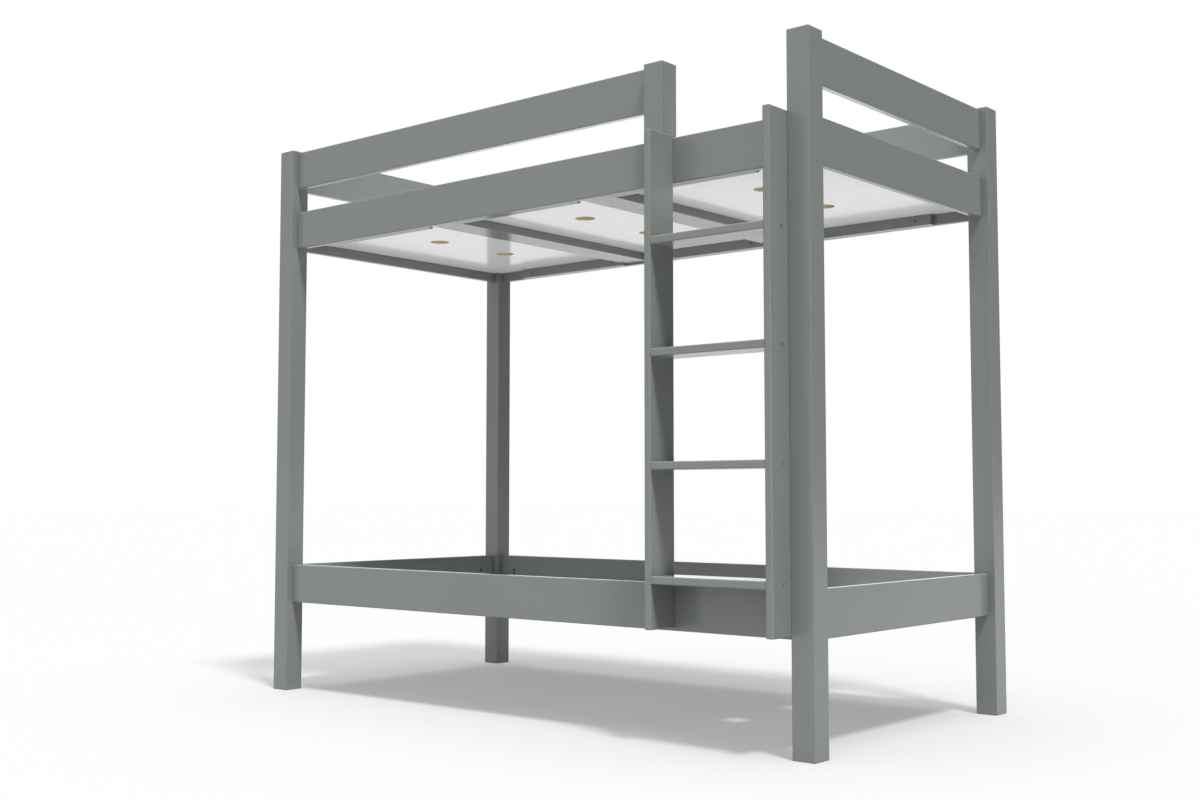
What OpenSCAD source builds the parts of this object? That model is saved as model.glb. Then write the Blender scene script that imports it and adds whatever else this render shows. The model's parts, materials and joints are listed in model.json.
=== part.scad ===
// Straight bunk bed in lacquered wood: four square corner posts, two rail frames one above the
// other, guard rails round the upper bed, a fixed ladder and loose white base panels.
// X runs along the bed, Y across it towards the rear and Z up. The origin is on the floor, in the
// middle of the rectangle that the bed covers with the ladder, which stands in front (-Y).

/* [Bed frame] */
// Length of the bed over the corner posts
bed_len = 2002; // [1982:5:2102]
// Width of the bed over the corner posts
bed_w = 1012; // [982:5:1252]
// Height of the corner posts
post_h = 1723; // [1523:5:1903]
// Side of the square corner posts
post_w = 62; // [56:1:70]
// Side of the square guard post at the ladder
guard_post_w = 60; // [56:1:70]
// Radius of the posts' upright edges
post_edge_r = 1.5; // [1:0.5:6]
// Height of the bottom edge of the lower bed's rails
lower_rail_z = 275; // [250:5:300]
// Distance of the guard rails' top edges below the posts' upper ends
guard_drop = 6; // [3:1:20]
// Gap between an upper rail and the guard rail over it
guard_gap = 77; // [60:1:90]

/* [Boards] */
// Height of every rail and guard rail
rail_h = 118; // [110:1:120]
// Thickness of the rails, guard rails, stiles and rungs
board_t = 20; // [20:1:24]
// Radius of the eased edges of the boards, and of the posts' ends
edge_r = 3; // [1:0.5:4]

/* [Bed base] */
// Distance between the centre lines of the two cross-beams of a bed
beam_pitch = 586; // [560:2:640]
// Width of a cross-beam
beam_w = 100; // [80:2:110]
// Thickness of a cross-beam
beam_t = 25; // [22:1:28]
// Height of a ledger, the strip on a rail that carries the edge of a panel
ledger_h = 31; // [28:1:36]
// Thickness of a ledger
ledger_t = 20; // [15:1:25]
// Distance of a ledger's screws from its ends
ledger_screw_inset = 50; // [30:5:80]
// Thickness of a base panel
panel_t = 16; // [12:1:19]
// Diameter of the two holes in a base panel
panel_hole_d = 60; // [30:2:80]
// Distance between the two holes in a base panel
panel_hole_pitch = 305; // [200:5:400]
// Distance of a right panel's holes from its middle, towards the end of the bed
right_hole_shift = 12; // [0:1:20]
// Radius of the eased edges of beams and ledgers
batten_edge_r = 1.5; // [0.5:0.5:3]

/* [Ladder] */
// Width of the ladder between its stiles
ladder_w = 335; // [300:5:360]
// Depth of the stiles and rungs, from the front rails forwards
ladder_depth = 97; // [80:1:110]
// Height of the lowest rung's top face above the lower rails' top edges
first_rung_rise = 22; // [20:1:60]
// Distance of the highest rung's top face below the upper rails' bottom edges
last_rung_drop = 149; // [120:1:200]
// Height of the stiles' lower ends above the bottom edge of the lower rails
stile_lift = 8; // [0:1:20]
// Height of the stiles' upper ends above the top edge of the upper rails
stile_rise = 5; // [0:1:40]

/* [Joints] */
// Distance of a nut pocket's centre from the end of its rail
pocket_inset = 65; // [50:1:80]
// Height of a nut pocket
pocket_h = 24; // [22:1:30]
// Distance of a rail joint's dowels above and below its bolt
dowel_offset = 35; // [30:1:40]
// Diameter of every dowel
dowel_d = 8; // [6:1:8]
// Distance of the ladder's fixing screws above and below the middle of a rail
ladder_screw_offset = 18; // [17:1:20]

/* [Fits] */
// Gap round a loose panel, and between two panels
panel_gap = 2; // [1:0.5:4]
// Gap between a beam and the end of a ledger in the middle bay
middle_ledger_gap = 6; // [1:0.5:10]
// Gap between a beam and the end of a ledger in an outer bay
side_ledger_gap = 3; // [1:0.5:6]
// Gap round a fastener in its bore
bore_gap = 0.1; // [0.05:0.05:0.2]

/* [Hidden] */

$fn = 32;
lacquer = "#7f847e";
melamine = "#e6e6e4";
steel = "#b4b6b8";
beech = "#c8a878";

// Distance by which a cutter passes the face it cuts
cut = 1;
// Room at the end of a dowel in its bore, as a multiple of the gap round it
end_room = 5;

// Sides of the bed, and the bays between its cross-beams
front = -1;
rear = 1;
left = -1;
middle = 0;
right = 1;

// Frame; the middle of the bed stands behind the origin by half of what the ladder reaches out
setback = (post_w - board_t) / 2;
ladder_reach = ladder_depth - setback;
bed_y = ladder_reach / 2;
long_rail_len = bed_len - 2 * post_w;
end_rail_len = bed_w - 2 * post_w;
post_x = (bed_len - post_w) / 2;
post_y = (bed_w - post_w) / 2;
rail_inner_x = post_x - board_t / 2;
rail_inner_y = post_y - board_t / 2;
rail_front_y = bed_y - post_y - board_t / 2;
guard_rail_z = post_h - guard_drop - rail_h;
upper_rail_z = guard_rail_z - guard_gap - rail_h;
rail_levels = [lower_rail_z, upper_rail_z, guard_rail_z];
bed_levels = [lower_rail_z, upper_rail_z];

// Ladder, whose right stile stands against the front right post
stile_z0 = lower_rail_z + stile_lift;
stile_z1 = upper_rail_z + rail_h + stile_rise;
stile_right_x = post_x - post_w / 2 - board_t / 2;
stile_left_x = stile_right_x - ladder_w - board_t;
ladder_x = (stile_left_x + stile_right_x) / 2;
ladder_y = rail_front_y - ladder_depth / 2;
rung_count = 4;
first_rung_z = lower_rail_z + rail_h + first_rung_rise;
rung_pitch = (upper_rail_z - last_rung_drop - first_rung_z) / (rung_count - 1);

// Guard post, whose right face meets the left stile; its front cheek laps the upper rail
guard_post_x = stile_left_x - board_t / 2 - guard_post_w / 2;
guard_front_x0 = post_w / 2 - post_x;
guard_front_x1 = guard_post_x - guard_post_w / 2;
guard_front_len = guard_front_x1 - guard_front_x0;
guard_front_x = (guard_front_x0 + guard_front_x1) / 2;

// Bed base
beam_x = beam_pitch / 2;
beam_len = 2 * rail_inner_y;
ledger_len = beam_pitch - beam_w - 2 * middle_ledger_gap;
ledger_side_x = beam_x + beam_w / 2 + side_ledger_gap + ledger_len / 2;
panel_side_len = rail_inner_x - panel_gap - beam_x - panel_gap / 2;
panel_side_x = beam_x + panel_gap / 2 + panel_side_len / 2;
panel_middle_len = beam_pitch - panel_gap;
panel_w = 2 * rail_inner_y - 2 * panel_gap;

// Rail joints: a bolt whose wood thread sits in the post, a washer and nut on its other end in a
// pocket of the rail, and two dowels, half in the post and half in the rail
dowel_half = 20;
bolt_thread_d = 7;
bolt_thread_len = 20;
bolt_d = 6;
bolt_end = 2;
washer_d = 12;
washer_t = 1.6;
nut_flats = 10;
nut_t = 5;
pocket_w = 12;
pocket_depth = 17;
washer_x = pocket_w / 2 - pocket_inset;

// Countersunk screws; a head is twice as wide as its screw
head_ratio = 2;
ledger_screw_d = 4;
ledger_screw_len = 34;
ladder_screw_d = 5;
ladder_screw_len = 55;
rung_screw_d = 5;
rung_screw_len = 70;

// Screws from the upper rail into the guard post's cheek, beside the post's middle plane, and
// their heights from the middle of the rail
guard_screw_d = 4;
guard_screw_len = 35;
guard_screw_x = 16;
guard_screw_z = [-5, 38];

// Dowels of a rung, before and behind its screw, and how far they reach into the stile
rung_dowel_y = 28;
rung_dowel_len = 32;
rung_dowel_stile = 12;

// Dowels of a beam, beside its middle plane, and how far they reach into the rail
beam_dowel_x = 30;
beam_dowel_len = 36;
beam_dowel_rail = 12;

// ---- Shapes that repeat ----

// Rectangle centred on the origin with rounded corners
module rounded_rect(width, height, radius) {
    square([width - 2 * radius, height], center = true);
    square([width, height - 2 * radius], center = true);
    for (sx = [-1, 1], sy = [-1, 1])
        translate([sx * (width / 2 - radius), sy * (height / 2 - radius)])
            circle(r = radius);
}

// Bar centred on the origin with all twelve edges eased alike
module eased_bar(size, radius) {
    eased_upright(size, radius, radius);
}

// Bar centred on the origin whose four upright edges are eased with a radius of their own
module eased_upright(size, radius, upright_radius) {
    intersection() {
        linear_extrude(size.z, center = true)
            rounded_rect(size.x, size.y, upright_radius);
        rotate([90, 0, 0])
            linear_extrude(size.y, center = true)
                rounded_rect(size.x, size.z, radius);
        rotate([90, 0, 90])
            linear_extrude(size.x, center = true)
                rounded_rect(size.y, size.z, radius);
    }
}

// Cylinder along +X from the origin
module rod(diameter, length) {
    rotate([0, 90, 0])
        cylinder(d = diameter, h = length);
}

// Countersunk screw along +X, its flat head flush with x = 0
module countersunk_screw(diameter, length) {
    head_d = head_ratio * diameter;
    rotate([0, 90, 0]) {
        cylinder(d1 = head_d, d2 = diameter, h = (head_d - diameter) / 2);
        cylinder(d = diameter, h = length);
    }
}

// Bore of a countersunk screw, open at x = 0
module countersunk_bore(diameter, length) {
    head_d = head_ratio * diameter;
    countersunk_screw(diameter + 2 * bore_gap, length + bore_gap);
    translate([-cut, 0, 0])
        rod(head_d + 2 * bore_gap, cut + bore_gap);
}

// ---- Rail joints ----
// In the frame of a joint, x = 0 is the plane where the rail ends on the post, +X points into
// the post, +Y to the rail's inner face and z = 0 is the middle of the rail. The washer bears on
// the wall of the pocket that is nearer to the post.

// Places its children at both ends of a rail that lies along X
module at_rail_ends(length) {
    for (s = [-1, 1])
        translate([s * length / 2, 0, 0])
            mirror([s < 0 ? 1 : 0, 0, 0])
                children();
}

module joint_dowels(gap = 0) {
    for (s = [-1, 1])
        translate([-dowel_half - end_room * gap, 0, s * dowel_offset])
            rod(dowel_d + 2 * gap, 2 * (dowel_half + end_room * gap));
}

module joint_bolt() {
    rod(bolt_thread_d, bolt_thread_len);
    translate([washer_x - washer_t - nut_t - bolt_end, 0, 0])
        rod(bolt_d, bolt_end + nut_t + washer_t - washer_x);
}

module joint_washer() {
    translate([washer_x - washer_t, 0, 0])
        difference() {
            rod(washer_d, washer_t);
            bolt_hole();
        }
}

module joint_nut() {
    translate([washer_x - washer_t - nut_t, 0, 0])
        difference() {
            rotate([0, 90, 0])
                cylinder(d = nut_flats / cos(30), h = nut_t, $fn = 6);
            bolt_hole();
        }
}

// Hole for the bolt's shank through a washer or nut whose near face is at x = 0
module bolt_hole() {
    translate([-cut, 0, 0])
        rod(bolt_d + 2 * bore_gap, nut_t + 2 * cut);
}

// Slot with round ends, open on the rail's inner face
module nut_pocket() {
    translate([-pocket_inset, board_t / 2 - pocket_depth, 0])
        rotate([-90, 0, 0])
            linear_extrude(pocket_depth + cut) {
                square([pocket_w, pocket_h - pocket_w], center = true);
                for (s = [-1, 1])
                    translate([0, s * (pocket_h - pocket_w) / 2])
                        circle(d = pocket_w);
            }
}

// What a joint takes out of the end of its rail
module rail_end_bores() {
    joint_dowels(bore_gap);
    translate([-pocket_inset, 0, 0])
        rod(bolt_thread_d, pocket_inset + cut);
    nut_pocket();
}

// What a joint takes out of the post
module post_bores() {
    joint_dowels(bore_gap);
    translate([-cut, 0, 0])
        rod(bolt_thread_d + 2 * bore_gap, bolt_thread_len + bore_gap + cut);
}

// Turns a rail that lies along X with its inner face to +Y onto one side of the bed
module on_front_side(level) {
    translate([0, bed_y - post_y, level + rail_h / 2])
        children();
}

module on_rear_side(level) {
    translate([0, bed_y + post_y, level + rail_h / 2])
        rotate([0, 0, 180])
            children();
}

module on_left_side(level) {
    translate([-post_x, bed_y, level + rail_h / 2])
        rotate([0, 0, -90])
            children();
}

module on_right_side(level) {
    translate([post_x, bed_y, level + rail_h / 2])
        rotate([0, 0, 90])
            children();
}

// ---- Posts ----

// Corner post; the signs give its corner, and bores are made for the rails that end on it
module corner_post(side_x, side_y, long_levels) {
    color(lacquer)
        translate([side_x * post_x, bed_y + side_y * post_y, 0])
            mirror([side_x > 0 ? 0 : 1, 0, 0])
                mirror([0, side_y > 0 ? 0 : 1, 0])
                    difference() {
                        translate([0, 0, post_h / 2])
                            eased_upright([post_w, post_w, post_h], edge_r, post_edge_r);
                        for (level = long_levels)
                            translate([-post_w / 2, 0, level + rail_h / 2])
                                post_bores();
                        for (level = rail_levels)
                            translate([0, -post_w / 2, level + rail_h / 2])
                                rotate([0, 0, 90])
                                    post_bores();
                    }
}

// Short post at the ladder: it stands on the upper rail, and its front cheek laps the rail
module guard_post() {
    color(lacquer)
        difference() {
            translate([guard_post_x, bed_y - post_y, (post_h + upper_rail_z) / 2])
                eased_upright(
                    [guard_post_w, guard_post_w, post_h - upper_rail_z], edge_r, post_edge_r);
            translate([guard_front_x1 - cut, rail_front_y, upper_rail_z - cut])
                cube([guard_post_w + 2 * cut, guard_post_w, rail_h + cut]);
            translate([guard_front_x1, bed_y - post_y, guard_rail_z + rail_h / 2])
                post_bores();
            at_guard_screws()
                countersunk_bore(guard_screw_d, guard_screw_len);
        }
}

// ---- Rails ----

// Blank of a rail, bored at both ends for its joints
module rail(length) {
    difference() {
        eased_bar([length, board_t, rail_h], edge_r);
        at_rail_ends(length)
            rail_end_bores();
    }
}

module long_rail(side, level) {
    color(lacquer)
        difference() {
            if (side == front)
                on_front_side(level) rail(long_rail_len);
            else
                on_rear_side(level) rail(long_rail_len);
            at_ledger_screws(side, level)
                countersunk_bore(ledger_screw_d, ledger_screw_len);
            at_beam_ends(side, level)
                beam_dowels_here(bore_gap);
            if (side == front)
                at_ladder_screws(level)
                    countersunk_bore(ladder_screw_d, ladder_screw_len);
            if (side == front && level == upper_rail_z)
                at_guard_screws()
                    countersunk_bore(guard_screw_d, guard_screw_len);
        }
}

module end_rail(side, level) {
    color(lacquer)
        if (side == left)
            on_left_side(level) rail(end_rail_len);
        else
            on_right_side(level) rail(end_rail_len);
}

module guard_rail_front() {
    color(lacquer)
        translate([guard_front_x, 0, 0])
            on_front_side(guard_rail_z) rail(guard_front_len);
}

module guard_rail_rear() {
    color(lacquer)
        on_rear_side(guard_rail_z) rail(long_rail_len);
}

// Places its children at the ends of all twelve rails
module at_all_rail_ends() {
    for (level = rail_levels) {
        on_rear_side(level) at_rail_ends(long_rail_len) children();
        on_left_side(level) at_rail_ends(end_rail_len) children();
        on_right_side(level) at_rail_ends(end_rail_len) children();
    }
    for (level = bed_levels)
        on_front_side(level) at_rail_ends(long_rail_len) children();
    translate([guard_front_x, 0, 0])
        on_front_side(guard_rail_z) at_rail_ends(guard_front_len) children();
}

module rail_bolts() {
    color(steel)
        at_all_rail_ends() joint_bolt();
}

module rail_washers() {
    color(steel)
        at_all_rail_ends() joint_washer();
}

module rail_nuts() {
    color(steel)
        at_all_rail_ends() joint_nut();
}

module rail_dowels() {
    color(beech)
        at_all_rail_ends() joint_dowels();
}

// ---- Bed base ----

// Places its children on the inner face of a long rail, where the beams end, +X into the rail
module at_beam_ends(side, level) {
    for (bay_side = [left, right])
        translate([bay_side * beam_x, bed_y + side * rail_inner_y, level + ledger_h - beam_t / 2])
            rotate([0, 0, side * 90])
                children();
}

module beam_dowels_here(gap = 0) {
    back = beam_dowel_len - beam_dowel_rail;
    for (s = [-1, 1])
        translate([-back - end_room * gap, s * beam_dowel_x, 0])
            rod(dowel_d + 2 * gap, beam_dowel_len + 2 * end_room * gap);
}

// Flat beam across the bed under the edges of two panels
module cross_beam(bay_side, level) {
    color(lacquer)
        difference() {
            translate([bay_side * beam_x, bed_y, level + ledger_h - beam_t / 2])
                rotate([0, 0, 90])
                    eased_bar([beam_len, beam_w, beam_t], batten_edge_r);
            for (side = [front, rear])
                at_beam_ends(side, level)
                    beam_dowels_here(bore_gap);
        }
}

module beam_dowels() {
    color(beech)
        for (level = bed_levels, side = [front, rear])
            at_beam_ends(side, level) beam_dowels_here();
}

// Places its children at the ledger screws of one rail, +X into the rail
module at_ledger_screws(side, level) {
    for (bay = [left, middle, right], end = [-1, 1])
        translate([
            bay * ledger_side_x + end * (ledger_len / 2 - ledger_screw_inset),
            bed_y + side * (rail_inner_y - ledger_t),
            level + ledger_h / 2
        ])
            rotate([0, 0, side * 90])
                children();
}

// Strip along a long rail under the edge of one panel
module ledger(side, bay, level) {
    color(lacquer)
        difference() {
            translate([
                bay * ledger_side_x,
                bed_y + side * (rail_inner_y - ledger_t / 2),
                level + ledger_h / 2
            ])
                eased_bar([ledger_len, ledger_t, ledger_h], batten_edge_r);
            at_ledger_screws(side, level)
                countersunk_bore(ledger_screw_d, ledger_screw_len);
        }
}

module ledger_screws() {
    color(steel)
        for (level = bed_levels, side = [front, rear])
            at_ledger_screws(side, level)
                countersunk_screw(ledger_screw_d, ledger_screw_len);
}

// Loose panel over one bay, with two holes and, in the outer bays, corners cut for the posts
module base_panel(bay, level) {
    length = bay == middle ? panel_middle_len : panel_side_len;
    color(melamine)
        translate([bay * panel_side_x, bed_y, level + ledger_h])
            linear_extrude(panel_t)
                difference() {
                    square([length, panel_w], center = true);
                    for (s = [-1, 1])
                        translate([bay == right ? right_hole_shift : 0, s * panel_hole_pitch / 2])
                            circle(d = panel_hole_d);
                    if (bay != middle)
                        for (s = [-1, 1])
                            translate([bay * length / 2, s * panel_w / 2])
                                square(2 * setback, center = true);
                }
}

// ---- Ladder ----

// Places its children at the rung ends on one stile, +X into the rung
module at_rung_ends(side, rungs = [0:rung_count - 1]) {
    for (i = rungs)
        translate([
            ladder_x + side * ladder_w / 2,
            ladder_y,
            first_rung_z + i * rung_pitch - board_t / 2
        ])
            rotate([0, 0, side > 0 ? 180 : 0])
                children();
}

module rung_dowels_here(gap = 0) {
    for (s = [-1, 1])
        translate([-rung_dowel_stile - end_room * gap, s * rung_dowel_y, 0])
            rod(dowel_d + 2 * gap, rung_dowel_len + 2 * end_room * gap);
}

module rung_screw_here() {
    translate([-board_t, 0, 0])
        countersunk_screw(rung_screw_d, rung_screw_len);
}

module rung_bores() {
    rung_dowels_here(bore_gap);
    translate([-board_t, 0, 0])
        countersunk_bore(rung_screw_d, rung_screw_len);
}

// Places its children on the inner face of a front rail behind both stiles, +X into the rail
module at_ladder_screws(level) {
    for (x = [stile_left_x, stile_right_x], s = [-1, 1])
        translate([x, bed_y - rail_inner_y, level + rail_h / 2 + s * ladder_screw_offset])
            rotate([0, 0, -90])
                children();
}

// Upright board of the ladder, wide face along the rungs' ends
module ladder_stile(side) {
    color(lacquer)
        difference() {
            translate([ladder_x + side * (ladder_w + board_t) / 2, ladder_y, (stile_z0 + stile_z1) / 2])
                eased_bar([board_t, ladder_depth, stile_z1 - stile_z0], edge_r);
            at_rung_ends(side) rung_bores();
            for (level = bed_levels)
                at_ladder_screws(level)
                    countersunk_bore(ladder_screw_d, ladder_screw_len);
        }
}

module ladder_rung(number) {
    color(lacquer)
        difference() {
            translate([ladder_x, ladder_y, first_rung_z + (number - 1) * rung_pitch - board_t / 2])
                eased_bar([ladder_w, ladder_depth, board_t], edge_r);
            for (side = [left, right])
                at_rung_ends(side, [number - 1]) rung_bores();
        }
}

module rung_screws() {
    color(steel)
        for (side = [left, right])
            at_rung_ends(side) rung_screw_here();
}

module rung_dowels() {
    color(beech)
        for (side = [left, right])
            at_rung_ends(side) rung_dowels_here();
}

module ladder_fixing_screws() {
    color(steel)
        for (level = bed_levels)
            at_ladder_screws(level) countersunk_screw(ladder_screw_d, ladder_screw_len);
}

// Places its children on the inner face of the upper front rail behind the guard post's cheek
module at_guard_screws() {
    for (s = [-1, 1], z = guard_screw_z)
        translate([
            guard_post_x + s * guard_screw_x,
            bed_y - rail_inner_y,
            upper_rail_z + rail_h / 2 + z
        ])
            rotate([0, 0, -90])
                children();
}

module guard_post_screws() {
    color(steel)
        at_guard_screws() countersunk_screw(guard_screw_d, guard_screw_len);
}

corner_post(left, front, rail_levels);  // post_front_left
corner_post(right, front, bed_levels);  // post_front_right
corner_post(left, rear, rail_levels);  // post_rear_left
corner_post(right, rear, rail_levels);  // post_rear_right
guard_post();
long_rail(front, lower_rail_z);  // lower_rail_front
long_rail(rear, lower_rail_z);  // lower_rail_rear
end_rail(left, lower_rail_z);  // lower_rail_left
end_rail(right, lower_rail_z);  // lower_rail_right
long_rail(front, upper_rail_z);  // upper_rail_front
long_rail(rear, upper_rail_z);  // upper_rail_rear
end_rail(left, upper_rail_z);  // upper_rail_left
end_rail(right, upper_rail_z);  // upper_rail_right
guard_rail_front();
guard_rail_rear();
end_rail(left, guard_rail_z);  // guard_rail_left
end_rail(right, guard_rail_z);  // guard_rail_right
ladder_stile(left);  // ladder_stile_left
ladder_stile(right);  // ladder_stile_right
ladder_rung(1);  // ladder_rung_1
ladder_rung(2);  // ladder_rung_2
ladder_rung(3);  // ladder_rung_3
ladder_rung(4);  // ladder_rung_4
cross_beam(left, lower_rail_z);  // lower_beam_left
cross_beam(right, lower_rail_z);  // lower_beam_right
cross_beam(left, upper_rail_z);  // upper_beam_left
cross_beam(right, upper_rail_z);  // upper_beam_right
ledger(front, left, lower_rail_z);  // lower_ledger_front_left
ledger(front, middle, lower_rail_z);  // lower_ledger_front_middle
ledger(front, right, lower_rail_z);  // lower_ledger_front_right
ledger(rear, left, lower_rail_z);  // lower_ledger_rear_left
ledger(rear, middle, lower_rail_z);  // lower_ledger_rear_middle
ledger(rear, right, lower_rail_z);  // lower_ledger_rear_right
ledger(front, left, upper_rail_z);  // upper_ledger_front_left
ledger(front, middle, upper_rail_z);  // upper_ledger_front_middle
ledger(front, right, upper_rail_z);  // upper_ledger_front_right
ledger(rear, left, upper_rail_z);  // upper_ledger_rear_left
ledger(rear, middle, upper_rail_z);  // upper_ledger_rear_middle
ledger(rear, right, upper_rail_z);  // upper_ledger_rear_right
base_panel(left, lower_rail_z);  // lower_panel_left
base_panel(middle, lower_rail_z);  // lower_panel_middle
base_panel(right, lower_rail_z);  // lower_panel_right
base_panel(left, upper_rail_z);  // upper_panel_left
base_panel(middle, upper_rail_z);  // upper_panel_middle
base_panel(right, upper_rail_z);  // upper_panel_right
rail_bolts();
rail_washers();
rail_nuts();
rail_dowels();
ledger_screws();
beam_dowels();
rung_screws();
rung_dowels();
ladder_fixing_screws();
guard_post_screws();
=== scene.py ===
# %% [markdown]
# # A straight bunk bed in grey-green lacquer
#
# The bed is a frame of planed boards between square posts, so nearly every shape is already in the
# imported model. What is left for this script is what the eye judges: satin lacquer over wood, white
# melamine-faced board with raw edges in its holes, zinc-plated fittings with real drives and
# threads, and the light of a bright studio. This first cell empties Blender's start scene and loads
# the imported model.

# %% Load the frame
import json
import math

import bpy
import numpy as np
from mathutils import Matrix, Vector

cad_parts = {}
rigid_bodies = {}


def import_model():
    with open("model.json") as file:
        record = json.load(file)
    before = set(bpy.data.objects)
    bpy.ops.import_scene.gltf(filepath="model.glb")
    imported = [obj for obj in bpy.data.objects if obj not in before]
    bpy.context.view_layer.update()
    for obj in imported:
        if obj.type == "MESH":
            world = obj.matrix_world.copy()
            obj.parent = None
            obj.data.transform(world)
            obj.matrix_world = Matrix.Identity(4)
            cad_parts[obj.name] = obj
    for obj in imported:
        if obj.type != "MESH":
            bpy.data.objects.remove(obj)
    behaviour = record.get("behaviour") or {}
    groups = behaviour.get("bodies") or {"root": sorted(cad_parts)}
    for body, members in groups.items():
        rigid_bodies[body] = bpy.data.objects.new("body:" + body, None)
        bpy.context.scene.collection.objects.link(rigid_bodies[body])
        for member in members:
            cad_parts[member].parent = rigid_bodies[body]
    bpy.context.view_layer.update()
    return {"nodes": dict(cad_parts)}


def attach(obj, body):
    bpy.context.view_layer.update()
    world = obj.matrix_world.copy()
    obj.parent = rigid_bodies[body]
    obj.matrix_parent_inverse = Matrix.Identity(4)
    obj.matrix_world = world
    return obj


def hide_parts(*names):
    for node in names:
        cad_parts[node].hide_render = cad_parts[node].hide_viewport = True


for left_over in list(bpy.data.objects):
    bpy.data.objects.remove(left_over)

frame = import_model()
nodes = frame["nodes"]

# %% [markdown]
# ## The camera
#
# The photograph was taken from low down in front of the ladder's corner, with a moderate lens. The
# viewpoint below was found by fitting a perspective camera to the edges of posts and rails, so it
# is given as a place in metres, two angles in radians and a focal length in millimetres, and
# nothing about it follows the picture's pixels.

# %% Camera
CAMERA_PLACE = (2.78975, -3.34198, 0.61217)
CAMERA_TURN = 0.7024
CAMERA_RISE = 0.0658
CAMERA_LENS = 43.41
CAMERA_SENSOR = 36.0
CAMERA_REACH = 200.0

camera_data = bpy.data.cameras.new("camera")
camera_data.lens = CAMERA_LENS
camera_data.sensor_width = CAMERA_SENSOR
camera_data.clip_end = CAMERA_REACH
camera = bpy.data.objects.new("camera", camera_data)
camera.location = CAMERA_PLACE
camera.rotation_euler = (math.pi / 2 + CAMERA_RISE, 0.0, CAMERA_TURN)
bpy.context.scene.collection.objects.link(camera)
bpy.context.scene.camera = camera
print("camera at", CAMERA_PLACE, "lens", CAMERA_LENS)

# %% [markdown]
# ## Node helpers
#
# Every finish below is a small tree of shader nodes. A few helpers keep those trees short enough to
# read: one adds any node and links or sets its inputs, and the others are the sums, noises and
# remappings that every finish needs.

# %% Node helpers
def add_node(tree, kind, sockets=None, **settings):
    """Adds a shader node. sockets maps an input's name or number to a value, or to the output
    that it is linked to."""
    made = tree.nodes.new(kind)
    for name, value in settings.items():
        setattr(made, name, value)
    for name, value in (sockets or {}).items():
        if isinstance(value, bpy.types.NodeSocket):
            tree.links.new(value, made.inputs[name])
        else:
            made.inputs[name].default_value = value
    return made


def maths(tree, operation, first, second=0.0):
    """One step of arithmetic on values or outputs."""
    made = add_node(tree, "ShaderNodeMath", {0: first, 1: second}, operation=operation)
    return made.outputs[0]


def ramp(tree, value, low, high, to_low=0.0, to_high=1.0):
    """Carries low..high onto to_low..to_high in a straight line, and stops at both ends. With low
    above high it falls where it would rise."""
    made = add_node(tree, "ShaderNodeMapRange",
                    {"Value": value, "From Min": low, "From Max": high,
                     "To Min": to_low, "To Max": to_high})
    return made.outputs["Result"]


def scaled(tree, vector, scale):
    """The place multiplied axis by axis, so that a pattern is drawn out along one of them."""
    made = add_node(tree, "ShaderNodeMapping", {"Vector": vector, "Scale": scale})
    return made.outputs["Vector"]


def noise(tree, vector, scale, detail=2.0, roughness=0.5):
    """Smooth random value around 0.5, with scale bumps to the metre."""
    made = add_node(tree, "ShaderNodeTexNoise",
                    {"Vector": vector, "Scale": scale, "Detail": detail, "Roughness": roughness})
    return made.outputs["Fac"]


def blend(tree, amount, first, second):
    """Blends two values by amount: first where it is 0, second where it is 1."""
    made = add_node(tree, "ShaderNodeMix", {0: amount, 2: first, 3: second}, data_type="FLOAT")
    return made.outputs[0]


def tinted(tree, amount, first, second):
    """Blends two colours, or two outputs that carry colours, by amount."""
    made = add_node(tree, "ShaderNodeMix", {0: amount, 6: first, 7: second}, data_type="RGBA")
    return made.outputs[2]


def relief(tree, height, depth, under=None):
    """Turns a height of 0..1 into a surface relief of that depth in metres, over another one."""
    sockets = {"Height": height, "Strength": 1.0, "Distance": depth}
    if under is not None:
        sockets["Normal"] = under
    return add_node(tree, "ShaderNodeBump", sockets).outputs["Normal"]


def new_material(name):
    """A material with a bare Principled shader; returns it, its node tree and the shader."""
    material = bpy.data.materials.new(name)
    material.use_nodes = True
    tree = material.node_tree
    shader = tree.nodes["Principled BSDF"]
    return material, tree, shader


def face_direction(tree):
    """How squarely a surface faces x, y and z, each from 0 to 1, in the piece's own axes."""
    normal = add_node(tree, "ShaderNodeTexCoord").outputs["Normal"]
    size = add_node(tree, "ShaderNodeVectorMath", {0: normal}, operation="ABSOLUTE")
    parts = add_node(tree, "ShaderNodeSeparateXYZ", {0: size.outputs[0]})
    return parts.outputs[0], parts.outputs[1], parts.outputs[2]


print("helpers ready")

# %% [markdown]
# ## Studio light
#
# The photograph has a white ground without a horizon, a large soft light overhead, a weaker one in
# front, and a hard key light high on the right that lays the bed's shadow on the floor to the left.
# An area lamp would show in the lacquer as a hard rectangle, so the soft lights are painted into the
# world instead: it brightens steeply towards the zenith, gently towards the front, and in a low band
# behind the bed, which stands for the lit backdrop that the tops of the rungs and rails mirror. The
# camera sees the same world as plain white. The key and the ceiling are sun lamps with wide discs,
# which blur the shadow of the high rails more than that of the low ones.

# %% World and key light
WORLD_BASE = 0.10
WORLD_TOP = 4.30
WORLD_TOP_FOCUS = 8.0
WORLD_FRONT = 1.04
WORLD_BACKDROP = 2.00
BACKDROP_SIDE = (-0.65, 0.76, 0.0)
BACKDROP_EDGE = (0.70, 0.92)
BACKDROP_RISE = 0.35
KEY_STRENGTH = 4.6
KEY_DIRECTION = (-0.475, 0.21, -1.0)
KEY_DISC = math.radians(9.0)
CEILING_STRENGTH = 1.6
CEILING_DIRECTION = (0.0, 0.0, -1.0)
CEILING_DISC = math.radians(40.0)

scene = bpy.context.scene
scene.view_settings.view_transform = "Standard"
scene.view_settings.look = "None"

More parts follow.
